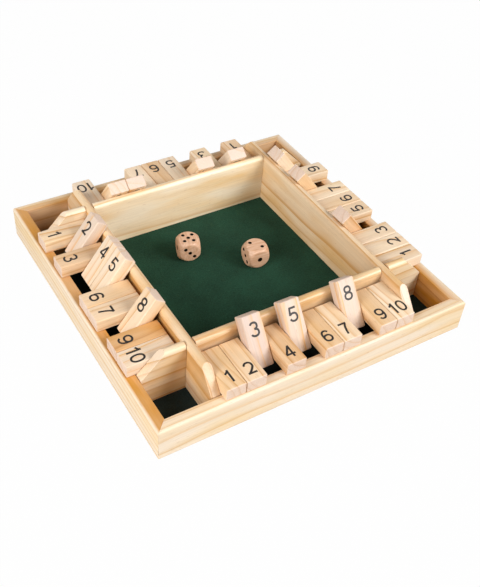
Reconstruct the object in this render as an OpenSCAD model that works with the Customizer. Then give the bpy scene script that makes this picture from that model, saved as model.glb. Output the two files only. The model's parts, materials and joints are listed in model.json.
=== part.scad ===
// Shut the box game for four players.
// A square pine case holds a felt-lined dice tray. On each of its four sides ten
// numbered tiles turn on a rod. A tile lies outward on the rim of the case, or it is
// flipped over and leans inward on the board beside the tray.
// The origin is the centre of the underside, and +Z is up.
// Each row is built as the front one, at -Y, and turned into its place.

/* [Case] */
// Outside length of each side of the square case
side = 290; // [250:5:350]
// Height of the outer walls
wall_h = 30; // [25:1:36]
// Thickness of the outer walls
wall_t = 10; // [8:0.5:13]
// Radius of the rounded outer top edge of the walls
wall_round = 2; // [0.5:0.25:3]
// Thickness of the base panel
base_t = 2.5; // [2:0.25:4]
// Depth of the rabbet in the walls that takes the base panel
rabbet_d = 5; // [3:0.5:6]
// Thickness of the felt lining
felt_t = 0.6; // [0.4:0.1:1.5]

/* [Inner boards] */
// Thickness of the boards round the tray, whose tops are full round
board_t = 8; // [6:0.5:10]
// Height of the boards above the felt
board_h = 47.5; // [40:0.5:57]
// Slope of the clipped ends of the side boards, from the horizontal
side_slope = 51; // [42:1:75]
// Slope of the clipped ends of the rod supports, from the horizontal
support_slope = 45; // [42:1:75]
// Depth of the holes in the boards that hold the rods
socket_depth = 5; // [3:0.5:6]

/* [Tiles] */
// Number of tiles in each row
tiles = 10; // [9:1:12]
// Length of a tile
tile_len = 43; // [36:0.5:51]
// Thickness of a tile
tile_t = 11.2; // [9:0.1:13]
// Distance from the root end of a tile to its pivot
root_len = 14; // [12:0.5:17]
// Radius of the sanded edges of a tile
tile_round = 0.8; // [0.3:0.1:1.5]
// How far a tile laps onto the rim when it lies outward
rim_lap = 7.2; // [4:0.1:8]
// Gap between the root end of a lying tile and the inner board
root_gap = 2.7; // [2:0.1:4]

/* [Rods] */
// Diameter of the four rods that the tiles turn on
rod_d = 4; // [3:0.5:5]

/* [Dice] */
// Edge of a die
die_edge = 20; // [14:0.5:22]
// Radius of the ball that rounds the corners of a die
die_ball = 13.45; // [9.4:0.05:16]
// Distance of the outer pips from the middle of a face
pip_step = 4.15; // [2.5:0.05:4.5]
// Diameter of a pip
pip_d = 3.2; // [1.6:0.1:4]
// Diameter of the single pip on the one face
one_pip_d = 4.4; // [2:0.1:5.5]
// Depth of the drilled pips
pip_depth = 0.8; // [0.4:0.1:1.5]

/* [Clearances] */
// Gap between neighbouring tiles
tile_gap = 0.4; // [0.2:0.1:1]
// Radial play of the rod in a tile
rod_play = 0.08; // [0.02:0.01:0.1]
// Gap where a glued piece meets its neighbour
joint_gap = 0.1; // [0.05:0.05:0.3]
// Gap under a tile or a die that rests on something
rest_gap = 0.1; // [0.05:0.05:0.3]
// Gap between a clipped board end and the outer wall
ear_gap = 0.5; // [0.2:0.1:1]

/* [Hidden] */
$fn = 48;
// Name of each row, its turn about Z, and the tiles in it that lean inward
ROWS = [
    ["front", 0, [3, 5, 8]],
    ["left", -90, [2, 4, 5, 8]],
    ["back", 180, [2, 4, 8, 9]],
    ["right", 90, [4, 8, 10]],
];
// Name of each die, its place on the felt, its turn about Z, and whether its five is up
DICE = [
    ["die_left", [-19.0, 42.9], -16.7, true],
    ["die_right", [31.0, 6.9], -5.9, false],
];
// Pips of each face as steps across and up it, for the faces 1 to 6
PIPS = [
    [[0, 0]],
    [[-1, 1], [1, -1]],
    [[-1, -1], [0, 0], [1, 1]],
    [[-1, -1], [-1, 1], [1, -1], [1, 1]],
    [[-1, -1], [-1, 1], [0, 0], [1, -1], [1, 1]],
    [[-1, -1], [-1, 0], [-1, 1], [1, -1], [1, 0], [1, 1]],
];
// Turn that brings each face of a die, 1 to 6, from the top to its own side
FACE_TURNS = [[90, 0, 0], [0, 0, 0], [0, -90, 0], [0, 90, 0], [180, 0, 0], [-90, 0, 0]];

// Case
well = side - 2 * wall_t; // inside length of the case
floor_z = base_t + felt_t; // top of the felt
rim_ease = 0.6; // rounding of the inner top edge of the walls
// Channels and tray, worked out from the tiles that lie across them
channel_w = root_gap + tile_len - rim_lap;
tray_w = well - 2 * (channel_w + board_t);
tray_half = tray_w / 2;
board_far = tray_half + board_t; // outer face of the inner boards
board_top = floor_z + board_h;
ear_len = channel_w - ear_gap; // free length of a board end beyond the cross board
// Tiles: the pivot lies at mid thickness of a tile that rests on the rim
pitch = tray_w / tiles;
tile_w = pitch - tile_gap;
free_len = tile_len - root_len;
pivot_y = board_far + root_gap + root_len;
pivot_z = wall_h + rest_gap + tile_t / 2;
// A leaning tile touches the round top of the inner board
nose_r = board_t / 2;
nose_dy = root_gap + root_len + nose_r; // from the pivot in to the centre of the round
nose_dz = board_top - nose_r - pivot_z; // and up to it
lean = atan(nose_dz / nose_dy) + asin((tile_t / 2 + nose_r + rest_gap) / norm([nose_dy, nose_dz]));
flip = 180 - lean; // turn from lying to leaning
// Rods
rod_len = tray_w + 2 * (socket_depth - joint_gap);
socket_d = rod_d + 2 * rod_play;

WALLS = [for (r = ROWS) str("wall_", r[0])];
CROSS_BOARDS = ["tray_board_front", "tray_board_back"];
SIDE_BOARDS = ["side_board_left", "side_board_right"];
SUPPORTS = [for (s = ["left", "right"], e = ["front", "back"]) str("rod_support_", s, "_", e)];
RODS = [for (r = ROWS) str("rod_", r[0])];
TILES = [for (r = ROWS, k = [1 : tiles]) str(r[0], "_tile_", k)];

function leans(row, k) = len(search(k, row[2])) > 0;

// ---- profiles ----

// A rectangle with round corners, from exact arcs
module round_rect(size, r) {
    square([size[0] - 2 * r, size[1]], center = true);
    square([size[0], size[1] - 2 * r], center = true);
    for (x = [-1, 1], y = [-1, 1])
        translate([x * (size[0] / 2 - r), y * (size[1] / 2 - r)]) circle(r);
}

// What a round of radius r takes off a square corner at the origin, the body lying at -X -Y
module corner_waste(r) {
    translate([-r, -r]) difference() {
        square(2 * r);
        circle(r);
    }
}

// Section of an outer wall: inner face at 0, outer face at wall_t
module wall_section() {
    difference() {
        square([wall_t, wall_h]);
        translate([-1, -1]) square([rabbet_d + 1, base_t + 1]);
        translate([wall_t, wall_h]) corner_waste(wall_round);
        translate([0, wall_h]) mirror([1, 0]) corner_waste(rim_ease);
    }
}

// Section of an inner board, centred, with a full round top
module board_section() {
    translate([-board_t / 2, 0]) square([board_t, board_h - nose_r]);
    translate([0, board_h - nose_r]) circle(nose_r);
}

// ---- case ----

module base_panel() {
    w = well + 2 * (rabbet_d - joint_gap);
    color("burlywood") translate([-w / 2, -w / 2, 0]) cube([w, w, base_t]);
}

module felt_lining() {
    w = well - 2 * joint_gap;
    color("darkgreen") translate([-w / 2, -w / 2, base_t]) cube([w, w, felt_t]);
}

// The front wall, mitred at both ends by the wedge that its side of the square makes
module wall() {
    color("wheat") intersection() {
        translate([-side / 2, -well / 2, 0])
            rotate([90, 0, 90]) mirror([1, 0, 0]) linear_extrude(side) wall_section();
        linear_extrude(wall_h + 1) polygon([[0, 0], [-side / 2, -side / 2], [side / 2, -side / 2]]);
    }
}

// ---- inner boards ----

// A length of inner board along X, on the felt
module board(len) {
    translate([-len / 2, 0, floor_z]) rotate([90, 0, 90]) linear_extrude(len) board_section();
}

// What a slope takes off a board end that points to +X, with its end face at x
module ear_waste(x, slope) {
    translate([x, 0, wall_h])
        rotate([0, slope - 90, 0])
            translate([0, -board_t, -2 * board_h]) cube([4 * board_h, 2 * board_t, 4 * board_h]);
}

// A blind hole for a rod end, opening at the origin and running to +X
module socket() {
    translate([-1, 0, 0]) rotate([0, 90, 0]) cylinder(d = socket_d, h = socket_depth + 1);
}

module tray_board() {
    color("wheat") translate([0, -(tray_half + board_far) / 2, 0]) board(tray_w - 2 * joint_gap);
}

// The right-hand board. Its ends run past the tray and carry the front and back rods
module side_board() {
    reach = board_far + ear_len;
    color("wheat") difference() {
        translate([(tray_half + board_far) / 2, 0, 0]) rotate([0, 0, 90]) difference() {
            board(2 * reach);
            ear_waste(reach, side_slope);
            mirror([1, 0, 0]) ear_waste(reach, side_slope);
        }
        for (y = [-1, 1]) translate([tray_half, y * pivot_y, pivot_z]) socket();
    }
}

// The short board at the front end of the right-hand row, which carries its rod
module rod_support() {
    len = ear_len - joint_gap;
    color("wheat") difference() {
        translate([board_far + joint_gap + len / 2, -(tray_half + board_far) / 2, 0]) difference() {
            board(len);
            ear_waste(len / 2, support_slope);
        }
        translate([pivot_y, -tray_half, pivot_z]) rotate([0, 0, -90]) socket();
    }
}

module rod() {
    color("silver") translate([-rod_len / 2, -pivot_y, pivot_z])
        rotate([0, 90, 0]) cylinder(d = rod_d, h = rod_len);
}

// ---- tiles ----

// A tile on its pivot, lying outward to -Y, with every edge rounded
module tile_block() {
    difference() {
        translate([0, root_len - tile_len / 2, 0]) intersection() {
            translate([-tile_w, 0, 0]) rotate([90, 0, 90])
                linear_extrude(2 * tile_w) round_rect([tile_len, tile_t], tile_round);
            translate([0, tile_len, 0]) rotate([90, 0, 0])
                linear_extrude(2 * tile_len) round_rect([tile_w, tile_t], tile_round);
            translate([0, 0, -tile_t]) linear_extrude(2 * tile_t) round_rect([tile_w, tile_len], tile_round);
        }
        translate([-tile_w, 0, 0]) rotate([0, 90, 0]) cylinder(d = rod_d + 2 * rod_play, h = 2 * tile_w);
    }
}

module tile(k, leaning) {
    color("bisque") translate([(k - (tiles + 1) / 2) * pitch, -pivot_y, pivot_z])
        rotate([leaning ? -flip : 0, 0, 0]) tile_block();
}

// ---- dice ----

module die_block() {
    difference() {
        intersection() {
            cube(die_edge, center = true);
            sphere(die_ball);
        }
        for (n = [1 : 6]) rotate(FACE_TURNS[n - 1]) for (p = PIPS[n - 1])
            translate([p[0] * pip_step, p[1] * pip_step, die_edge / 2 - pip_depth])
                cylinder(d = n == 1 ? one_pip_d : pip_d, h = 2 * pip_depth);
    }
}

// A die on the felt, its two up, or turned over so that its five is up
module die(place, turn, five_up) {
    color("tan") translate([place[0], place[1], floor_z + rest_gap + die_edge / 2])
        rotate([0, 0, turn]) rotate(a = five_up ? 180 : 0, v = [1, 1, 0]) die_block();
}

// ---- assembly ----

base_panel();
felt_lining();
for (i = [0 : 3]) {
    rotate([0, 0, ROWS[i][1]]) wall();
    rotate([0, 0, ROWS[i][1]]) rod();
    for (k = [1 : tiles])
        rotate([0, 0, ROWS[i][1]]) tile(k, leans(ROWS[i], k));
}
for (i = [0 : 1]) {
    mirror([0, i, 0]) tray_board();
    mirror([1 - i, 0, 0]) side_board();
    die(DICE[i][1], DICE[i][2], DICE[i][3]);
    for (j = [0 : 1])
        mirror([1 - i, 0, 0]) mirror([0, j, 0]) rod_support();
}
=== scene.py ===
import json
import math

import bpy
import numpy as np
from mathutils import Matrix, Vector


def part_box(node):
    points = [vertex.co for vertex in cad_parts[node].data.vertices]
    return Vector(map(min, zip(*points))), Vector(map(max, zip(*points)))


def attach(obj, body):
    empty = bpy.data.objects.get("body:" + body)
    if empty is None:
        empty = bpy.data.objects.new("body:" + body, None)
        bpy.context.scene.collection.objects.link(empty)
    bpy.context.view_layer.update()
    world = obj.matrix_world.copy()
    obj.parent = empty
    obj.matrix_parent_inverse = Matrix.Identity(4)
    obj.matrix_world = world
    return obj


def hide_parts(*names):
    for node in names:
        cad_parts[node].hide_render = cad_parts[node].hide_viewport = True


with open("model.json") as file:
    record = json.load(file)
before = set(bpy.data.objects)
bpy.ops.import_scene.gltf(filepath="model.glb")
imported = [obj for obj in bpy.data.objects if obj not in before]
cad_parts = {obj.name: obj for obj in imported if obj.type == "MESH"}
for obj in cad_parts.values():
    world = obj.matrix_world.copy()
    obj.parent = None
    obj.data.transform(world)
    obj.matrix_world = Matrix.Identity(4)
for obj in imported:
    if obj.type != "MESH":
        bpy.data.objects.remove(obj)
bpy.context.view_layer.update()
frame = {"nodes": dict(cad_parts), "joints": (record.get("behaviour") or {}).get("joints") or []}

# ---- camera ----
# The game is seen past its front left corner, from above and close by. Lengths here are
# millimetres, turned to Blender's metres by MM, and angles degrees. Azimuth and elevation
# give the line from the target to the camera, and the roll turns the camera about it.
MM = 0.001
PICTURE_W, PICTURE_H = 480, 587  # pixels
FOCAL = 827.8  # pixels
CAMERA_TARGET = Vector((-1.3, -21.3, 0))
CAMERA_DISTANCE = 732.4
CAMERA_AZIMUTH = -34.48
CAMERA_ELEVATION = 42.85
CAMERA_ROLL = 4.92
SENSOR = 36.0  # along the picture's long side
NEAREST = 50  # closer things aren't drawn


def camera_turn(azimuth, elevation, roll):
    """Columns are the camera's right, up and back. Back points out along the azimuth and
    elevation, and a level right and its up are turned about it by the roll."""
    a, e, r = (math.radians(v) for v in (azimuth, elevation, roll))
    back = Vector((math.sin(a) * math.cos(e), -math.cos(a) * math.cos(e), math.sin(e)))
    level = Vector((0, 0, 1)).cross(back).normalized()
    upright = back.cross(level)
    right = level * math.cos(r) + upright * math.sin(r)
    up = upright * math.cos(r) - level * math.sin(r)
    return Matrix((right, up, back)).transposed()


scene = bpy.context.scene
scene.view_settings.view_transform = "Standard"
camera = bpy.data.objects.new("camera", bpy.data.cameras.new("camera"))
scene.collection.objects.link(camera)
turn = camera_turn(CAMERA_AZIMUTH, CAMERA_ELEVATION, CAMERA_ROLL)
place = (CAMERA_TARGET + turn.col[2] * CAMERA_DISTANCE) * MM
camera.matrix_world = Matrix.Translation(place) @ turn.to_4x4()
camera.data.sensor_width = SENSOR
camera.data.lens = FOCAL * SENSOR / max(PICTURE_W, PICTURE_H)
camera.data.clip_start = NEAREST * MM
scene.camera = camera

# ---- floor and light ----
# White paper under a soft box in front of the right-hand corner, which throws the dice's
# shadows to the back left, with a low fill on the left and an even white surround.
FLOOR_SIZE = 6000
FLOOR_COLOUR = "B8B7B4"
FLOOR_GLOW = 0.985  # share of plain white that the camera sees in the paper
SURROUND = 0.2  # strength of the surround as a light
SURROUND_COLOUR = "FFF9F2"
KEY_PLACE = Vector((1700, -2150, 1750))
KEY_SIZE = 1700
KEY_POWER = 98.5  # watts
FILL_PLACE = Vector((-1350, -300, 740))
FILL_SIZE = 1100
FILL_POWER = 22.3  # watts


def linear(colour):
    """sRGB hex to linear red, green, blue and alpha, by the sRGB curve."""
    c = np.array([int(colour[i:i + 2], 16) for i in (0, 2, 4)]) / 255
    c = np.where(c <= 0.04045, c / 12.92, ((c + 0.055) / 1.055) ** 2.4)
    return (*c.tolist(), 1.0)


def add(tree, kind, inputs=(), ramp=(), **settings):
    """Adds a node. inputs maps a socket's name or number to a value, a hex colour or the
    output that feeds it, and ramp lists the (place, hex colour) stops of a colour ramp."""
    node = tree.nodes.new(kind)
    for name, value in settings.items():
        setattr(node, name, value)
    for name, value in dict(inputs).items():
        if isinstance(value, bpy.types.NodeSocket):
            tree.links.new(value, node.inputs[name])
        else:
            node.inputs[name].default_value = linear(value) if isinstance(value, str) else value
    for i, (place, colour) in enumerate(ramp):
        stops = node.color_ramp.elements
        stop = stops[i] if i < 2 else stops.new(place)
        stop.position = place
        stop.color = linear(colour)
    return node


def lamp(name, place, size, power):
    """A square area lamp that faces the middle of the game."""
    light = bpy.data.lights.new(name, "AREA")
    light.size = size * MM
    light.energy = power
    holder = bpy.data.objects.new(name, light)
    facing = place.to_track_quat("Z", "Y").to_matrix().to_4x4()
    holder.matrix_world = Matrix.Translation(place * MM) @ facing
    scene.collection.objects.link(holder)


def blank_material(name):
    """A new material and its empty node tree."""
    material = bpy.data.materials.new(name)
    material.use_nodes = True
    material.node_tree.nodes.clear()
    return material, material.node_tree


lamp("key_lamp", KEY_PLACE, KEY_SIZE, KEY_POWER)
lamp("fill_lamp", FILL_PLACE, FILL_SIZE, FILL_POWER)

world = bpy.data.worlds.new("white_surround")
scene.world = world
world.use_nodes = True
tree = world.node_tree
tree.nodes.clear()
path = add(tree, "ShaderNodeLightPath")
seen = add(tree, "ShaderNodeMath", {0: path.outputs["Is Camera Ray"], 1: path.outputs["Is Glossy Ray"]},
           operation="MAXIMUM")
strength = add(tree, "ShaderNodeMapRange", {"Value": seen.outputs[0], "To Min": SURROUND, "To Max": 1.0})
air = add(tree, "ShaderNodeMix", {0: seen.outputs[0], 6: SURROUND_COLOUR, 7: "FFFFFF"}, data_type="RGBA")
sky = add(tree, "ShaderNodeBackground", {"Color": air.outputs[2], "Strength": strength.outputs[0]})
add(tree, "ShaderNodeOutputWorld", {"Surface": sky.outputs[0]})

paper, tree = blank_material("white_paper")
path = add(tree, "ShaderNodeLightPath")
share = add(tree, "ShaderNodeMapRange",
            {"Value": path.outputs["Is Camera Ray"], "To Min": 0.0, "To Max": FLOOR_GLOW})
matte = add(tree, "ShaderNodeBsdfDiffuse", {"Color": FLOOR_COLOUR})
glow = add(tree, "ShaderNodeEmission", {"Color": "FFFFFF", "Strength": 1.0})
both = add(tree, "ShaderNodeMixShader", {0: share.outputs[0], 1: matte.outputs[0], 2: glow.outputs[0]})
add(tree, "ShaderNodeOutputMaterial", {"Surface": both.outputs[0]})
bpy.ops.mesh.primitive_plane_add(size=FLOOR_SIZE * MM)
floor = bpy.context.object
floor.name = "floor"
floor.data.materials.append(paper)

# ---- base panel ----
# A square of thin hardboard, its smooth side down, let into a rabbet under the walls.
# Pressed brown fibre: an even tan with fine darker flecks and a dull sheen.
FIBRE_SIZE = 0.9  # mm, drawn about three times as coarse as real fibres so that it shows
PATCH_SIZE = 40
FIBRE_DEPTH = 0.1


def object_mm(tree):
    """A Mapping node that gives the place on the object in millimetres."""
    place = add(tree, "ShaderNodeTexCoord")
    return add(tree, "ShaderNodeMapping", {"Vector": place.outputs["Object"], "Scale": [1 / MM] * 3})


hardboard, tree = blank_material("pressed_hardboard")
place = object_mm(tree)
flecks = add(tree, "ShaderNodeTexNoise",
             {"Vector": place.outputs[0], "Scale": 1 / FIBRE_SIZE, "Detail": 4.0, "Distortion": 1.2})
patches = add(tree, "ShaderNodeTexNoise",
              {"Vector": place.outputs[0], "Scale": 1 / PATCH_SIZE, "Detail": 2.0})
mixed = add(tree, "ShaderNodeMath", {0: patches.outputs["Fac"], 1: 0.45, 2: flecks.outputs["Fac"]},
            operation="MULTIPLY_ADD")
brown = add(tree, "ShaderNodeValToRGB", {"Fac": mixed.outputs[0]},
            ramp=[(0.45, "8A6238"), (1.0, "B98F5E")])
dents = add(tree, "ShaderNodeBump",
            {"Height": flecks.outputs["Fac"], "Strength": 0.3, "Distance": FIBRE_DEPTH * MM})
board = add(tree, "ShaderNodeBsdfPrincipled",
            {"Base Color": brown.outputs[0], "Roughness": 0.55, "Normal": dents.outputs[0]})
add(tree, "ShaderNodeOutputMaterial", {"Surface": board.outputs[0]})
frame["nodes"]["base_panel"].data.materials.clear()
frame["nodes"]["base_panel"].data.materials.append(hardboard)

# ---- felt lining ----
# One square of dark green craft felt, cut a hair smaller than the inside of the case and
# glued down over the whole base panel, under the inner boards. Matted wool: a soft uneven
# nap with no weave and a broad faint sheen. Round the tray, in the corner compartments and
# channels, its colour is painted darker and less green as painted shade.
FELT_SEED = 3
FELT_STEP = 1.5  # mm between the surface's points
FELT_ROLL = 0.25  # rounding of the cut edge
NAP_HEIGHT = 0.06
NAP_SIZE = 1.1  # mm, about four times a real tuft, so that it shows
NAP_DEPTH = 0.4  # of the shading between tufts
WORN_SIZE = 28
UNDER_BOARDS = 95.0  # mm from the middle of the game to a line under the boards round the tray


def corners(node):
    """The lowest and highest corners of a CAD node, in millimetres."""
    return [np.array(c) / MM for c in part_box(node)]


def box_skin(planes):
    """The skin of a box cut by planes across X, Y and Z: each point once, and quads that
    face outwards."""
    grid = np.stack(np.meshgrid(*planes, indexing="ij"), -1)
    skin = np.ones(grid.shape[:3], bool)
    skin[1:-1, 1:-1, 1:-1] = False
    number = np.full(skin.shape, -1)
    number[skin] = np.arange(skin.sum())
    quads = []
    for axis in range(3):
        for side in (0, -1):
            s = np.take(number, side, axis=axis)
            quad = np.stack([s[:-1, :-1], s[1:, :-1], s[1:, 1:], s[:-1, 1:]], -1).reshape(-1, 4)
            quads.append(quad[:, ::-1] if (side == 0) == (axis != 1) else quad)
    return grid[skin], np.concatenate(quads)


def make_mesh(name, points, faces, material):
    """A smooth-shaded mesh object at the origin, from points in millimetres."""
    faces = faces.tolist() if isinstance(faces, np.ndarray) else faces
    mesh = bpy.data.meshes.new(name)
    mesh.from_pydata((points * MM).tolist(), [], faces)
    mesh.polygons.foreach_set("use_smooth", np.ones(len(mesh.polygons), bool))
    mesh.materials.append(material)
    piece = bpy.data.objects.new(name, mesh)
    scene.collection.objects.link(piece)
    return piece


felt, tree = blank_material("matted_wool_felt")
place = object_mm(tree)
tufts = add(tree, "ShaderNodeTexNoise",
            {"Vector": place.outputs[0], "Scale": 1 / NAP_SIZE, "Detail": 5.0, "Roughness": 0.65,
             "Distortion": 0.8})
worn = add(tree, "ShaderNodeTexNoise", {"Vector": place.outputs[0], "Scale": 1 / WORN_SIZE, "Detail": 2.0})
fluff = add(tree, "ShaderNodeMath", {0: worn.outputs["Fac"], 1: 0.5, 2: tufts.outputs["Fac"]},
            operation="MULTIPLY_ADD")
green = add(tree, "ShaderNodeValToRGB", {"Fac": fluff.outputs[0]},
            ramp=[(0.5, "0C2719"), (0.98, "1E4835")])
# Painted shade: beyond UNDER_BOARDS the felt takes this darker, greyer green in place of the shade in the
# compartments and channels.
dark = add(tree, "ShaderNodeValToRGB", {"Fac": fluff.outputs[0]},
           ramp=[(0.5, "0E1717"), (0.98, "202F31")])
folded = add(tree, "ShaderNodeVectorMath", {0: place.outputs[0]}, operation="ABSOLUTE")
apart = add(tree, "ShaderNodeSeparateXYZ", {0: folded.outputs[0]})
far = add(tree, "ShaderNodeMath", {0: apart.outputs[0], 1: apart.outputs[1]}, operation="MAXIMUM")
outside = add(tree, "ShaderNodeMath", {0: far.outputs[0], 1: UNDER_BOARDS}, operation="GREATER_THAN")
shade_painted_felt = add(tree, "ShaderNodeMix", {0: outside.outputs[0], 6: green.outputs[0], 7: dark.outputs[0]},
           data_type="RGBA")
nap = add(tree, "ShaderNodeBump",
          {"Height": tufts.outputs["Fac"], "Strength": 0.8, "Distance": NAP_DEPTH * MM})
wool = add(tree, "ShaderNodeBsdfPrincipled",
           {"Base Color": shade_painted_felt.outputs[2], "Roughness": 0.95, "Sheen Weight": 0.12, "Sheen Roughness": 0.6,
            "Sheen Tint": "7FA893", "Specular IOR Level": 0.2, "Normal": nap.outputs[0]})
add(tree, "ShaderNodeOutputMaterial", {"Surface": wool.outputs[0]})

low, high = corners("felt_lining")
FELT_W = high[0] - low[0]
across = np.linspace(-FELT_W / 2, FELT_W / 2, int(FELT_W / FELT_STEP))
across = np.union1d(across, [-FELT_W / 2 + FELT_ROLL, FELT_W / 2 - FELT_ROLL])
points, faces = box_skin([across, across, np.array([low[2], high[2] - FELT_ROLL, high[2]])])
rim = np.abs(points[:, :2]).max(1) > FELT_W / 2 - FELT_ROLL / 2
on_top = points[:, 2] > high[2] - FELT_ROLL / 2
points[on_top & rim, 2] -= FELT_ROLL / 2
points[on_top, 2] -= NAP_HEIGHT * np.random.default_rng(FELT_SEED).random(on_top.sum())
felt_sheet = make_mesh("green_felt", points, faces, felt)
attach(felt_sheet, "root")
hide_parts("felt_lining")

# ---- outer walls ----
# Four lengths of planed pine, glued at mitred corners. The outer top edge is rounded, the
# other edges are only eased, and a rabbet round the underside takes the base panel. A
# satin lacquer leaves the pale wood and its long orange streaks warm and softly shiny.
WALL_ROUND = 2.0
RIM_EASE = 0.6
RABBET_DEPTH = 5.0
EDGE_EASE = 0.3
EASED_ANGLE = 35  # degrees: sharper edges than this are eased
PINE_SEED = 11
ROW_TURNS = {"front": 0, "left": -90, "back": 180, "right": 90}  # about Z
WALL_EARLY, WALL_LATE, WALL_HEART = "F3E2CC", "E3B676", "F0D6AC"
END_GRAIN, TAN, HEART_LATE, BLUSH, RESIN = "E8D0C0", "CC8A24", "B27436", "D6C0B2", "A87238"
# Waves per millimetre along and across the grain: how the rings stray, the fibres and the
# resin ducts, both drawn about twice as coarse as real ones so that they show, and clouds.
STRAY_WAVES, FIBRE_WAVES = (0.008, 0.034, 0.034), (0.018, 0.85, 0.85)
DUCT_WAVES, CLOUD_WAVES = (0.14, 2.4, 2.4), (0.011, 0.05, 0.05)
CLOUD_SHIFT = (3.1, 1.7, 5.3)  # keeps the clouds from following the rings
FIBRE_RELIEF = 0.08
END_FADE = 0.6  # share of their strength that the bands lose on a fully pale end
CROSS_CUT = 0.6  # cosine to the grain above which a face counts as cut across it
PALE_END = 0.85  # how far the colour of a cut end goes to END_GRAIN
PITH_ANGLES = (25, 62)  # of the pith as seen from the end of a board, in degrees
PITH_DEPTHS = (0.8, 1.5)  # shares of the depth at which a board was sawn
TRUNK = 4000  # mm to each side of the middle of the trunk
LOG_DEPTH, LOG_LEAN = 60, 0.4  # mm from the pith and degrees off the grain, of long boards
# Tan heartwood along the inner faces, partly the wood's own colour and partly painted shade,
# laid deeper there to stand in for the warm shade in the corner compartments: its share at
# the left and right end of a wall, seen from outside, its reach outwards from the inner
# face, and the width over which it fades.
HEART_AND_SHADE_SHARES = {"front": (0.24, 0.25), "left": (0.85, 1.0), "back": (0.7, 0.75), "right": (1.0, 0.75)}
HEART_AND_SHADE_REACH = {"front": 5.0, "left": 9.6, "back": 9.0, "right": 9.0}
HEART_AND_SHADE_FADE = {"front": 2.0, "left": 2.0, "back": 9.0, "right": 9.0}
wall_low, wall_high = corners("wall_front")
SIDE = wall_high[0] - wall_low[0]
WALL_T = wall_high[1] - wall_low[1]
WALL_H = wall_high[2]
BASE_T = corners("base_panel")[1][2]
pine_random = np.random.default_rng(PINE_SEED)


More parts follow.
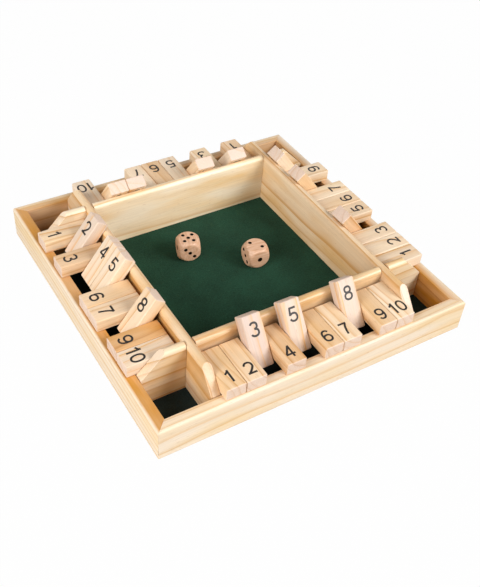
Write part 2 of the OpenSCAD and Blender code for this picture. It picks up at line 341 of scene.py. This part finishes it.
def pine(name, early, late, heart, ring, wander, roughness):
    """Clear-finished pine, planed: growth rings about a pith line along the grain, which
    a face cuts into long soft bands. early is the pale spring wood, late the orange
    summer wood, heart a slow warm cloud, ring the width of a ring and wander how many
    rings a band may stray along a board. The point attribute grain is the place in the
    tree in millimetres, X along the grain. The point attribute tint leans the colour to
    tan and the bands to a deep orange above 0, and the colour to a pale blush below. The
    face attribute end is how far the colour goes to END_GRAIN where the wood was cut
    across, and the bands fade with it."""
    material, tree = blank_material(name)
    grain = add(tree, "ShaderNodeAttribute", attribute_name="grain")
    end = add(tree, "ShaderNodeAttribute", attribute_name="end")
    tint = add(tree, "ShaderNodeAttribute", attribute_name="tint")
    # rings: the distance from the pith line, straying slowly along the board
    slow = add(tree, "ShaderNodeMapping", {"Vector": grain.outputs["Vector"], "Scale": STRAY_WAVES})
    drift = add(tree, "ShaderNodeTexNoise",
                {"Vector": slow.outputs[0], "Scale": 1.0, "Detail": 2.0, "Roughness": 0.45})
    cross = add(tree, "ShaderNodeMapping", {"Vector": grain.outputs["Vector"], "Scale": (0.0, 1.0, 1.0)})
    radius = add(tree, "ShaderNodeVectorMath", {0: cross.outputs[0]}, operation="LENGTH")
    bent = add(tree, "ShaderNodeMath",
               {0: drift.outputs["Fac"], 1: wander * ring, 2: radius.outputs["Value"]},
               operation="MULTIPLY_ADD")
    years = add(tree, "ShaderNodeMath", {0: bent.outputs[0], 1: 1 / ring}, operation="MULTIPLY")
    season = add(tree, "ShaderNodeMath", {0: years.outputs[0]}, operation="FRACT")
    band = add(tree, "ShaderNodeValToRGB", {"Fac": season.outputs[0]},
               ramp=[(0.0, "8A8A8A"), (0.1, "1C1C1C"), (0.5, "303030"), (0.8, "B0B0B0"),
                     (0.93, "FFFFFF")])
    # some years leave a strong band and some hardly any
    year = add(tree, "ShaderNodeMath", {0: years.outputs[0]}, operation="FLOOR")
    luck = add(tree, "ShaderNodeTexWhiteNoise", {"W": year.outputs[0]}, noise_dimensions="1D")
    level = add(tree, "ShaderNodeMapRange",
                {"Value": luck.outputs["Value"], "To Min": 0.1, "To Max": 0.95})
    even = add(tree, "ShaderNodeMath", {0: end.outputs["Fac"], 1: -END_FADE, 2: 1.0},
               operation="MULTIPLY_ADD")
    strong = add(tree, "ShaderNodeMath", {0: level.outputs[0], 1: even.outputs[0]}, operation="MULTIPLY")
    rings = add(tree, "ShaderNodeMath", {0: band.outputs[0], 1: strong.outputs[0]}, operation="MULTIPLY")
    # fibres and resin ducts
    thin = add(tree, "ShaderNodeMapping", {"Vector": grain.outputs["Vector"], "Scale": FIBRE_WAVES})
    fibre = add(tree, "ShaderNodeTexNoise",
                {"Vector": thin.outputs[0], "Scale": 1.0, "Detail": 3.0, "Roughness": 0.6})
    short = add(tree, "ShaderNodeMapping", {"Vector": grain.outputs["Vector"], "Scale": DUCT_WAVES})
    duct = add(tree, "ShaderNodeTexNoise", {"Vector": short.outputs[0], "Scale": 1.0, "Detail": 1.0})
    ducts = add(tree, "ShaderNodeMapRange",
                {"Value": duct.outputs["Fac"], "From Min": 0.68, "From Max": 0.76, "To Max": 0.4})
    # the ground: pale wood with warm clouds, leaning to tan or to a blush, paler on a cut end
    cloudy = add(tree, "ShaderNodeMapping",
                 {"Vector": grain.outputs["Vector"], "Scale": CLOUD_WAVES, "Location": CLOUD_SHIFT})
    cloud = add(tree, "ShaderNodeTexNoise", {"Vector": cloudy.outputs[0], "Scale": 1.0, "Detail": 3.0})
    warm = add(tree, "ShaderNodeMapRange",
               {"Value": cloud.outputs["Fac"], "From Min": 0.42, "From Max": 0.7})
    plain = add(tree, "ShaderNodeMix", {0: warm.outputs[0], 6: early, 7: heart}, data_type="RGBA")
    uneven = add(tree, "ShaderNodeMapRange",
                 {"Value": cloud.outputs["Fac"], "From Min": 0.35, "From Max": 0.65, "To Min": 0.8,
                  "To Max": 1.15})
    tanning = add(tree, "ShaderNodeMath", {0: tint.outputs["Fac"], 1: uneven.outputs[0]},
                  operation="MULTIPLY", use_clamp=True)
    tanned = add(tree, "ShaderNodeMix", {0: tanning.outputs[0], 6: plain.outputs[2], 7: TAN},
                 data_type="RGBA")
    paler = add(tree, "ShaderNodeMath", {0: tint.outputs["Fac"], 1: -1.0},
                operation="MULTIPLY", use_clamp=True)
    blushed = add(tree, "ShaderNodeMix", {0: paler.outputs[0], 6: tanned.outputs[2], 7: BLUSH},
                  data_type="RGBA")
    ended = add(tree, "ShaderNodeMix", {0: end.outputs["Fac"], 6: blushed.outputs[2], 7: END_GRAIN},
                data_type="RGBA")
    # the bands, the ducts and the fibres' light and shade over it
    deeper = add(tree, "ShaderNodeMix", {0: tint.outputs["Fac"], 6: late, 7: HEART_LATE},
                 data_type="RGBA")
    banded = add(tree, "ShaderNodeMix", {0: rings.outputs[0], 6: ended.outputs[2], 7: deeper.outputs[2]},
                 data_type="RGBA")
    ducted = add(tree, "ShaderNodeMix", {0: ducts.outputs[0], 6: banded.outputs[2], 7: RESIN},
                 data_type="RGBA")
    shade = add(tree, "ShaderNodeMapRange",
                {"Value": fibre.outputs["Fac"], "From Min": 0.3, "From Max": 0.72, "To Min": 1.03,
                 "To Max": 0.91})
    colour = add(tree, "ShaderNodeVectorMath", {0: ducted.outputs[2], "Scale": shade.outputs[0]},
                 operation="SCALE")
    relief = add(tree, "ShaderNodeBump",
                 {"Height": fibre.outputs["Fac"], "Strength": 0.3, "Distance": FIBRE_RELIEF * MM})
    rough = add(tree, "ShaderNodeMapRange",
                {"Value": fibre.outputs["Fac"], "To Min": roughness - 0.06, "To Max": roughness + 0.08})
    wood = add(tree, "ShaderNodeBsdfPrincipled",
               {"Base Color": colour.outputs[0], "Roughness": rough.outputs[0], "IOR": 1.47,
                "Normal": relief.outputs[0]})
    add(tree, "ShaderNodeOutputMaterial", {"Surface": wood.outputs[0]})
    return material


def arc(centre, radius, start, stop, steps):
    """Points of an arc about a centre, from one angle to another in degrees."""
    a = np.radians(np.linspace(start, stop, steps))
    return np.stack([centre[0] + radius * np.cos(a), centre[1] + radius * np.sin(a)], 1)


def sweep(profile, ends, caps):
    """Carries a closed anticlockwise profile of (y, z) points along X. Each point runs
    from minus its place in ends to plus it, so the ends may be mitred or clipped. caps
    lists the loops of point numbers that close an end."""
    n = len(profile)
    i = np.arange(n)
    j = (i + 1) % n
    points = np.vstack([np.column_stack([-ends, profile]), np.column_stack([ends, profile])])
    sides = np.column_stack([i, j, j + n, i + n]).tolist()
    low_caps = [list(c)[::-1] for c in caps]
    high_caps = [[int(k) + n for k in c] for c in caps]
    return points, sides + low_caps + high_caps


def turned(points, degrees, axis):
    """Points turned about an axis through the origin."""
    return points @ np.array(Matrix.Rotation(math.radians(degrees), 3, axis)).T


def in_tree(random, points, depth, lean):
    """Places in the tree for points of a board whose grain runs along X: it was sawn about
    depth from the pith, which lies off one corner, so that the rings cross both its faces,
    anywhere along the trunk, with its grain up to lean degrees off its edge."""
    tilted = turned(turned(points, random.uniform(-lean, lean), "Z"), random.uniform(-lean, lean), "Y")
    pith = math.radians(random.uniform(*PITH_ANGLES) + random.choice([0, 180]))
    away = depth * random.uniform(*PITH_DEPTHS)
    up_trunk = random.uniform(-TRUNK, TRUNK)
    return tilted + np.array([up_trunk, away * math.cos(pith), away * math.sin(pith)])


def finish_wood(piece, grain, along, tint, node, body="root", ease=0.0, pale_end=PALE_END):
    """Gives a wooden mesh its grain, tint and end attributes, eases its sharp edges and
    puts it in its CAD node's place. along is the direction of the grain in the piece, and
    pale_end the value of end where a face cuts across it."""
    mesh = piece.data
    normals = np.zeros(len(mesh.polygons) * 3)
    mesh.polygons.foreach_get("normal", normals)
    across_grain = np.abs(normals.reshape(-1, 3) @ np.array(along)) > CROSS_CUT
    grain_store = mesh.attributes.new("grain", "FLOAT_VECTOR", "POINT")
    grain_store.data.foreach_set("vector", grain.astype(np.float32).ravel())
    tint_store = mesh.attributes.new("tint", "FLOAT", "POINT")
    tint_store.data.foreach_set("value", np.broadcast_to(tint, len(grain)).astype(np.float32))
    end_store = mesh.attributes.new("end", "FLOAT", "FACE")
    end_store.data.foreach_set("value", (pale_end * across_grain).astype(np.float32))
    if ease:
        bevel = piece.modifiers.new("eased_edges", "BEVEL")
        bevel.width = ease * MM
        bevel.segments = 2
        bevel.limit_method = "ANGLE"
        bevel.angle_limit = math.radians(EASED_ANGLE)
        bevel.harden_normals = True
    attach(piece, body)
    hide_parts(node)


wall_pine = pine("planed_pine", WALL_EARLY, WALL_LATE, WALL_HEART, ring=5.5, wander=1.4, roughness=0.62)
outer_edge = arc((-WALL_T + WALL_ROUND, WALL_H - WALL_ROUND), WALL_ROUND, 90, 180, 9)
inner_edge = arc((-RIM_EASE, WALL_H - RIM_EASE), RIM_EASE, 0, 90, 5)
rabbet = [(-WALL_T, 0), (-RABBET_DEPTH, 0), (-RABBET_DEPTH, BASE_T), (0, BASE_T)]
sap_line = [(HEART_AND_SHADE_FADE["left"] - HEART_AND_SHADE_REACH["left"], WALL_H)]  # where the left wall's tan starts to fade
wall_profile = np.vstack([inner_edge, sap_line, outer_edge, rabbet])  # inner face at y = 0
mitre = SIDE / 2 - WALL_T - wall_profile[:, 0]
for row, degrees in ROW_TURNS.items():
    points, faces = sweep(wall_profile, mitre, [range(len(wall_profile))])
    grain = in_tree(pine_random, points, LOG_DEPTH, LOG_LEAN)
    # Painted shade: the tan is laid deeper on the inner faces than the wood has it, to stand in for the
    # warm shade in the compartments.
    shares = np.where(points[:, 0] < 0, *HEART_AND_SHADE_SHARES[row])
    heart = shares * np.clip((points[:, 1] + HEART_AND_SHADE_REACH[row]) / HEART_AND_SHADE_FADE[row], 0, 1)
    centred = points - np.array([0, SIDE / 2 - WALL_T, 0])
    wall = make_mesh(f"outer_wall_{row}", turned(centred, degrees, "Z"), faces, wall_pine)
    along = turned(np.array([1, 0, 0]), degrees, "Z")
    finish_wood(wall, grain, along, heart, f"wall_{row}", ease=EDGE_EASE)

# ---- inner boards ----
# Planed pine boards round the tray with full round tops, butted together and glued down.
# The two side boards run on past the tray to the outer walls, and four short boards stand
# opposite them, all clipped at the end, to carry the rods. Lacquered glossier than the walls.
BOARD_EASE = 0.25
BOARD_EARLY, BOARD_LATE, BOARD_HEART = "FAEACE", "DCA75F", "F2D09A"
SIDE_TINTS = {"left": (0.4, 0.25), "right": (0.4, 0.3)}  # at the front and back ends
TRAY_TINTS = {"front": (0.5, 0.22), "back": (0.0, 0.0)}  # at the left and right ends
CARRIER_TINTS = (-0.1, 0.3)  # each short board has one between these
GOLDEN_END = 0.3  # how pale cut ends are here: nearly as golden as the sides
SIDE_PALE_ENDS = {"left": GOLDEN_END, "right": 0.7}
SIDE_SLOPE, CARRIER_SLOPE = 51, 45  # degrees from the horizontal
FLOOR_Z, BOARD_TOP = (corners("side_board_left")[k][2] for k in (0, 1))
board_pine = pine("round_topped_pine", BOARD_EARLY, BOARD_LATE, BOARD_HEART, ring=6.5, wander=0.7,
                  roughness=0.3)


def board_mesh(thickness, half_length, slope, low_clipped, high_clipped):
    """A board along X with a full round top: a half circle on two straight sides. A
    clipped end leans back at the slope above the height of the outer walls."""
    r = thickness / 2
    crown = arc((0, BOARD_TOP - r), r, 0, 180, 25)
    sides = [(-r, WALL_H), (-r, FLOOR_Z), (r, FLOOR_Z), (r, WALL_H)]
    profile = np.vstack([crown, sides])
    n = len(profile)
    left, foot_left, foot_right, right = range(n - 4, n)
    caps = [[right, *range(n - 4), left], [left, foot_left, foot_right, right]]
    back = np.maximum(profile[:, 1] - WALL_H, 0) / math.tan(math.radians(slope))
    points, faces = sweep(profile, np.full(n, half_length), caps)
    points[:n, 0] += back * low_clipped
    points[n:, 0] -= back * high_clipped
    return points, faces


def inner_board(name, node, tints, slope=90, low_clipped=False, high_clipped=False, pale_end=GOLDEN_END):
    """Builds a board in its node's box, along whichever of X and Y is the longer. tints
    are those of its low and high ends."""
    low, high = corners(node)
    size = high - low
    degrees = 90 if size[1] > size[0] else 0
    points, faces = board_mesh(size[:2].min(), size[:2].max() / 2, slope, low_clipped, high_clipped)
    grain = in_tree(pine_random, points, LOG_DEPTH, LOG_LEAN)
    middle = np.array([*(low + high)[:2] / 2, 0])
    board = make_mesh(name, turned(points, degrees, "Z") + middle, faces, board_pine)
    along = turned(np.array([1, 0, 0]), degrees, "Z")
    tint = np.where(points[:, 0] < 0, *tints)
    finish_wood(board, grain, along, tint, node, ease=BOARD_EASE, pale_end=pale_end)


for side, tints in SIDE_TINTS.items():
    inner_board(f"{side}_tray_side", f"side_board_{side}", tints, SIDE_SLOPE, low_clipped=True,
                high_clipped=True, pale_end=SIDE_PALE_ENDS[side])
for side, tints in TRAY_TINTS.items():
    inner_board(f"{side}_tray_side", f"tray_board_{side}", tints)
for side in SIDE_TINTS:
    for end in TRAY_TINTS:
        tint = pine_random.uniform(*CARRIER_TINTS)
        inner_board(f"{side}_rod_carrier_{end}", f"rod_support_{side}_{end}", (tint, tint),
                    CARRIER_SLOPE, low_clipped=side == "left", high_clipped=side == "right")

# ---- rods ----
# Drawn steel rod, cut to length and pushed into blind holes in the boards. Bright metal
# with fine marks from the drawing, hardly seen between the tiles.
MARK_SPACING = 0.35  # mm, about five times as coarse as real marks, so that they show
steel, tree = blank_material("drawn_steel")
place = object_mm(tree)
marks = add(tree, "ShaderNodeTexNoise",
            {"Vector": place.outputs[0], "Scale": 1 / MARK_SPACING, "Detail": 3.0})
rough = add(tree, "ShaderNodeMapRange", {"Value": marks.outputs["Fac"], "To Min": 0.28, "To Max": 0.45})
metal = add(tree, "ShaderNodeBsdfPrincipled",
            {"Base Color": "B4B0AA", "Metallic": 1.0, "Roughness": rough.outputs[0]})
add(tree, "ShaderNodeOutputMaterial", {"Surface": metal.outputs[0]})
for row in ROW_TURNS:
    frame["nodes"][f"rod_{row}"].data.materials.clear()
    frame["nodes"][f"rod_{row}"].data.materials.append(steel)

# ---- tiles ----
# Ten blocks of sanded pine in each row, drilled across and threaded on the rod. They lie
# outward on the rim or lean inward on the tray's boards. Each was cut from another stick,
# so some are cream, some pinkish and some tan, and the sanded edges are a little uneven.
TILES = 10
TILE_SEED = 23
TILE_ROUNDS = (0.8, 1.2)  # smallest and largest rounding of a tile's edges
# Each tile's tint, from 1 to 10
TILE_TINTS = {"front": (0.3, 0.3, -1.0, 0.6, -0.8, 0.42, 0.1, -0.8, 0.34, 0.05),
              "left": (0.15, -0.6, 0.5, -0.25, -0.2, 0.3, 0.25, 0.2, 0.85, -0.4),
              "back": (0.3, -0.2, 0.05, 0.2, -0.2, 0.4, 0.1, -0.35, 0.1, -0.2),
              "right": (-0.3, -0.1, -0.25, 0.6, 0.2, 0.22, 0.0, 0.3, -0.1, 0.1)}
EDGE_STEPS = 4
STICK_DEPTH, STICK_LEAN = 26, 2.5  # mm from the pith and degrees off the grain, of short blocks
TILE_EARLY, TILE_LATE, TILE_HEART = "FAE5CA", "E2AE6C", "F6DAB2"
tile_pine = pine("sanded_pine", TILE_EARLY, TILE_LATE, TILE_HEART, ring=6.5, wander=2.6, roughness=0.5)
tile_random = np.random.default_rng(TILE_SEED)
joints = {joint["child"]: joint for joint in frame["joints"]}
PIVOTS = {name: np.array(joint["pos_m"]) / MM for name, joint in joints.items() if "pos_m" in joint}
low, high = corners("front_tile_1")  # a tile that lies outward
TILE_W, TILE_LEN, TILE_T = high - low
ROOT_LEN = high[1] - PIVOTS["front_tile_1"][1]


def rounded_block(size, radius):
    """A block with rounded edges and corners: each point of a box's skin is drawn in to
    the nearest point of an inner box that is smaller by the radius, then pushed out from
    it by the radius. The planes near an edge stand at equal angles about it."""
    angles = np.linspace(0, math.pi / 4, EDGE_STEPS)
    planes = []
    for length in size:
        edge = length / 2 - radius + radius * np.tan(angles)
        planes.append(np.concatenate([-edge[::-1], edge]))
    points, faces = box_skin(planes)
    inner = np.clip(points, radius - np.array(size) / 2, np.array(size) / 2 - radius)
    out = points - inner
    return inner + radius * out / np.linalg.norm(out, axis=1, keepdims=True), faces


def seat_tile(points, row, node):
    """Takes points of a tile that lies to -Y from its pivot to where that tile rests. One
    that leans inward has its lying place at the low end of its joint's range."""
    lean = -joints[node]["range_deg"][0]
    return turned(turned(points, -lean, "X"), ROW_TURNS[row], "Z") + PIVOTS[node]


def end_turn(points):
    """Points of a tile turned so that its length, which is its grain, runs along X."""
    return points[:, [1, 0, 2]]


for row in ROW_TURNS:
    for k in range(1, TILES + 1):
        node = f"{row}_tile_{k}"
        points, faces = rounded_block((TILE_W, TILE_LEN, TILE_T), tile_random.uniform(*TILE_ROUNDS))
        points[:, 1] += ROOT_LEN - TILE_LEN / 2
        grain = in_tree(tile_random, end_turn(points), STICK_DEPTH, STICK_LEAN)
        tile = make_mesh(f"{row}_block_{k}", seat_tile(points, row, node), faces, tile_pine)
        along = seat_tile(np.array([[0, 1, 0]]), row, node)[0] - PIVOTS[node]
        finish_wood(tile, grain, along, TILE_TINTS[row][k - 1], node, body=node)

# ---- numbers ----
# Plain numbers 1 to 10, printed in near-black ink on both faces of a tile, so that they
# read upright from the player's side whether the tile lies or leans. The film of ink has
# a faint gloss and is a little uneven.
DIGIT_H = 12.0
DIGIT_STROKE = 0.145  # share of the height
DIGIT_MIDDLE = 17.1  # from the pivot towards the free end
INK_PROUD, INK_SUNK = 0.05, 0.15
INK_LAYER = 0.01  # by which each stroke lies lower than the one before
FILM_WAVES = 1.1  # per millimetre, of the film's light and dark
CURVE_STEPS = 28

ink, tree = blank_material("printed_ink")
place = object_mm(tree)
film = add(tree, "ShaderNodeTexNoise", {"Vector": place.outputs[0], "Scale": FILM_WAVES, "Detail": 3.0})
black = add(tree, "ShaderNodeValToRGB", {"Fac": film.outputs["Fac"]},
            ramp=[(0.35, "120B07"), (0.75, "261A13")])
coat = add(tree, "ShaderNodeBsdfPrincipled",
           {"Base Color": black.outputs[0], "Roughness": 0.45, "Specular IOR Level": 0.38})
add(tree, "ShaderNodeOutputMaterial", {"Surface": coat.outputs[0]})


def bowl(x, y, rx, ry, start, stop, squareness=2.25):
    """Part of a superellipse about (x, y), from one angle to another in degrees: the
    cosine and sine raised to 2 / squareness."""
    a = np.radians(np.linspace(start, stop, CURVE_STEPS))
    c, s = np.cos(a), np.sin(a)
    c, s = (np.sign(v) * np.abs(v) ** (2 / squareness) for v in (c, s))
    return np.column_stack([x + rx * c, y + ry * s])


def bend(start, control, stop):
    """A curve from start to stop that leaves and arrives towards the control point."""
    t = np.linspace(0, 1, CURVE_STEPS)[:, None]
    start, control, stop = (np.array(p) for p in (start, control, stop))
    return (1 - t) ** 2 * start + 2 * t * (1 - t) * control + t ** 2 * stop


# The strokes of each figure, across from its middle and up from its foot, as shares of its
# height
SIX = [bowl(0, 0.316, 0.2675, 0.2535, 0, 360), bowl(0.02, 0.5, 0.2875, 0.4375, 42, 195)]
GLYPHS = {
    "0": [bowl(0, 0.5, 0.2675, 0.4375, 0, 360)],
    "1": [[(0.09, 0), (0.09, 1)], bend((0.1, 0.93), (0.01, 0.79), (-0.17, 0.71))],
    "2": [np.vstack([bowl(0, 0.67, 0.26, 0.2675, 170, -30),
                     bend((0.21, 0.5), (0.08, 0.3), (-0.25, 0.04))]),
          [(-0.31, 0.0625), (0.31, 0.0625)]],
    "3": [bowl(-0.01, 0.725, 0.235, 0.2125, 160, -90), bowl(0, 0.285, 0.2675, 0.2225, 90, -165)],
    "4": [[(0.13, 0), (0.13, 1)], [(0.13, 0.95), (-0.3, 0.28)], [(-0.34, 0.27), (0.33, 0.27)]],
    "5": [[(-0.2, 0.9375), (0.26, 0.9375)], [(-0.17, 0.99), (-0.245, 0.45)],
          bowl(0, 0.32, 0.2675, 0.2575, 143, -165)],
    "6": SIX,
    "7": [[(-0.3, 0.9375), (0.31, 0.9375)], bend((0.26, 0.93), (0.0, 0.6), (-0.08, 0))],
    "8": [bowl(0, 0.735, 0.225, 0.2025, 0, 360), bowl(0, 0.288, 0.2675, 0.2255, 0, 360)],
    "9": [[0, 1] - stroke for stroke in SIX],
}
TEN_PLACES = (-0.42, 0.285)  # of the 1 and the 0 in 10


def stroke_solid(path, width, top, bottom):
    """A flat bar along a path: at each point, half the width to each side along the mean
    of its neighbours' normals, at the top and the bottom, joined into a ring or capped."""
    path = np.array(path, float)
    closed = np.allclose(path[0], path[-1])
    path = path[:-1] if closed else path
    steps = np.roll(path, -1, 0) - path
    steps /= np.linalg.norm(steps, axis=1, keepdims=True)
    before = np.roll(steps, 1, 0)
    if not closed:
        steps[-1] = before[-1]
        before[0] = steps[0]
    ahead = steps + before
    ahead /= np.linalg.norm(ahead, axis=1, keepdims=True)
    spread = width / 2 / (ahead * steps).sum(1, keepdims=True)
    side = np.column_stack([-ahead[:, 1], ahead[:, 0]]) * spread
    n = len(path)
    levels = [(path + side, top), (path - side, top), (path - side, bottom), (path + side, bottom)]
    points = np.vstack([np.column_stack([p, np.full(n, z)]) for p, z in levels])
    i = np.arange(n if closed else n - 1)
    j = (i + 1) % n
    faces = []
    for a in range(4):
        b = (a + 1) % 4
        faces += np.column_stack([i + a * n, i + b * n, j + b * n, j + a * n]).tolist()
    if not closed:
        faces += [[3 * n, 2 * n, n, 0], [n - 1, 2 * n - 1, 3 * n - 1, 4 * n - 1]]
    return points, faces


def print_number(text):
    """The strokes of a number about its middle, flat in X and Y, as points and faces. Each
    stroke lies a hair lower than the one before, so that no two faces share a plane."""
    places = TEN_PLACES if text == "10" else (0,)
    points, faces, base, layer = [], [], 0, 0
    for digit, shift in zip(text, places):
        for path in GLYPHS[digit]:
            path = (np.array(path) + [shift, -0.5]) * DIGIT_H
            p, f = stroke_solid(path, DIGIT_STROKE * DIGIT_H, INK_PROUD - INK_LAYER * layer, -INK_SUNK)
            points.append(p)
            faces += [[v + base for v in face] for face in f]
            base += len(p)
            layer += 1
    return np.vstack(points), faces


for row in ROW_TURNS:
    for k in range(1, TILES + 1):
        node = f"{row}_tile_{k}"
        flat, faces = print_number(str(k))
        lying_up = flat + [0, -DIGIT_MIDDLE, TILE_T / 2]
        leaning_up = flat * [1, -1, -1] + [0, -DIGIT_MIDDLE, -TILE_T / 2]
        both_faces = faces + [[v + len(flat) for v in face] for face in faces]
        points = seat_tile(np.vstack([lying_up, leaning_up]), row, node)
        number = make_mesh(f"{row}_number_{k}", points, both_faces, ink)
        number.data.polygons.foreach_set("use_smooth", np.zeros(len(both_faces), bool))
        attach(number, node)

# ---- dice ----
# Two beech dice: cubes whose corners a tumbling barrel rounded to a ball, with drilled
# pips dipped in dark stain. Pinkish tan, with short fine flecks and a dull wax.
DIE_EDGE = 20.0
DIE_BALL = 13.45  # radius
DIE_BLEND = 0.7  # how softly a face runs into the ball
DIE_STEPS = 80
PIP_STEP = 4.15
PIP_D, ONE_PIP_D = 3.2, 4.4
PIP_DEPTH = 0.8
RAY_WAVES, FLECK_WAVES = (0.05, 0.5, 0.5), (0.5, 2.6, 2.6)  # per millimetre, along and across
BEECH_RELIEF = 0.1
# How each die lies: degrees about Z, whether its five is up, and its place in the stick
DICE = {"die_left": (-16.7, True, 160.0), "die_right": (-5.9, False, 180.0)}
# The turn that takes +Z to the face with each number of pips, and the pips' places there
FACE_TURNS = {1: (90, "X"), 2: (0, "X"), 3: (-90, "Y"), 4: (90, "Y"), 5: (180, "X"), 6: (-90, "X")}
FOUR = [(-1, -1), (-1, 1), (1, -1), (1, 1)]
PIPS = {1: [(0, 0)], 2: [(-1, 1), (1, -1)], 3: [(-1, -1), (0, 0), (1, 1)], 4: FOUR,
        5: [*FOUR, (0, 0)], 6: [*FOUR, (-1, 0), (1, 0)]}

beech, tree = blank_material("tumbled_beech")
grain = add(tree, "ShaderNodeAttribute", attribute_name="grain")
pip = add(tree, "ShaderNodeAttribute", attribute_name="pip")
long = add(tree, "ShaderNodeMapping", {"Vector": grain.outputs["Vector"], "Scale": RAY_WAVES})
rays = add(tree, "ShaderNodeTexNoise",
           {"Vector": long.outputs[0], "Scale": 1.0, "Detail": 4.0, "Roughness": 0.6})
short = add(tree, "ShaderNodeMapping", {"Vector": grain.outputs["Vector"], "Scale": FLECK_WAVES})
fleck = add(tree, "ShaderNodeTexNoise", {"Vector": short.outputs[0], "Scale": 1.0, "Detail": 2.0})
flecks = add(tree, "ShaderNodeMapRange",
             {"Value": fleck.outputs["Fac"], "From Min": 0.58, "From Max": 0.72, "To Max": 0.35})
tan = add(tree, "ShaderNodeValToRGB", {"Fac": rays.outputs["Fac"]},
          ramp=[(0.3, "E8C2A5"), (0.7, "CC9974")])
flecked = add(tree, "ShaderNodeMix", {0: flecks.outputs[0], 6: tan.outputs[0], 7: "B27F58"},
              data_type="RGBA")
inked = add(tree, "ShaderNodeMapRange",
            {"Value": pip.outputs["Fac"], "From Min": -0.02, "From Max": 0.18, "To Min": 1.0,
             "To Max": 0.0})
dotted = add(tree, "ShaderNodeMix", {0: inked.outputs[0], 6: flecked.outputs[2], 7: "0F0906"},
             data_type="RGBA")
dull = add(tree, "ShaderNodeMapRange", {"Value": inked.outputs[0], "To Min": 0.5, "To Max": 0.05})
relief = add(tree, "ShaderNodeBump",
             {"Height": rays.outputs["Fac"], "Strength": 0.2, "Distance": BEECH_RELIEF * MM})
wax = add(tree, "ShaderNodeBsdfPrincipled",
          {"Base Color": dotted.outputs[2], "Roughness": 0.42, "IOR": 1.47,
           "Specular IOR Level": dull.outputs[0], "Normal": relief.outputs[0]})
add(tree, "ShaderNodeOutputMaterial", {"Surface": wax.outputs[0]})


def smaller(a, b, blend):
    """The smaller of two lengths, with a smooth run between them where they differ by
    less than blend."""
    h = np.clip(0.5 + 0.5 * (b - a) / blend, 0, 1)
    return b * (1 - h) + a * h - blend * h * (1 - h)


def die_surface():
    """Each point of a cube's skin is drawn in along its line from the middle to the ball
    where that is nearer. Pips are dents with a round bottom. Also gives each point's
    distance outside the nearest pip's edge."""
    planes = np.linspace(-DIE_EDGE / 2, DIE_EDGE / 2, DIE_STEPS + 1)
    half_step = DIE_EDGE / DIE_STEPS / 2
    skin, faces = box_skin([planes] * 3)
    far = np.linalg.norm(skin, axis=1, keepdims=True)
    points = skin / far * smaller(far, DIE_BALL, DIE_BLEND)
    outside = np.full(len(skin), DIE_EDGE)
    for value, (degrees, axis) in FACE_TURNS.items():
        local = turned(points, -degrees, axis)
        radius = (ONE_PIP_D if value == 1 else PIP_D) / 2
        on_face = turned(skin, -degrees, axis)[:, 2] > DIE_EDGE / 2 - half_step
        for x, y in PIPS[value]:
            gap = np.hypot(local[:, 0] - x * PIP_STEP, local[:, 1] - y * PIP_STEP) - radius
            outside = np.where(on_face, np.minimum(outside, gap), outside)
            dent = on_face * PIP_DEPTH * np.sqrt(np.clip(-gap / radius, 0, 1))
            points -= dent[:, None] * turned(np.array([0, 0, 1]), degrees, axis)
    return points, faces, outside


points, faces, outside = die_surface()
for node, (degrees, five_up, stick) in DICE.items():
    low, high = corners(node)
    rolled = points[:, [1, 0, 2]] * [1, 1, -1] if five_up else points
    die = make_mesh(f"wooden_{node}", turned(rolled, degrees, "Z") + (low + high) / 2, faces, beech)
    grain_store = die.data.attributes.new("grain", "FLOAT_VECTOR", "POINT")
    grain_store.data.foreach_set("vector", (points + stick).astype(np.float32).ravel())
    pip_store = die.data.attributes.new("pip", "FLOAT", "POINT")
    pip_store.data.foreach_set("value", outside.astype(np.float32))
    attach(die, node)
    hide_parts(node)
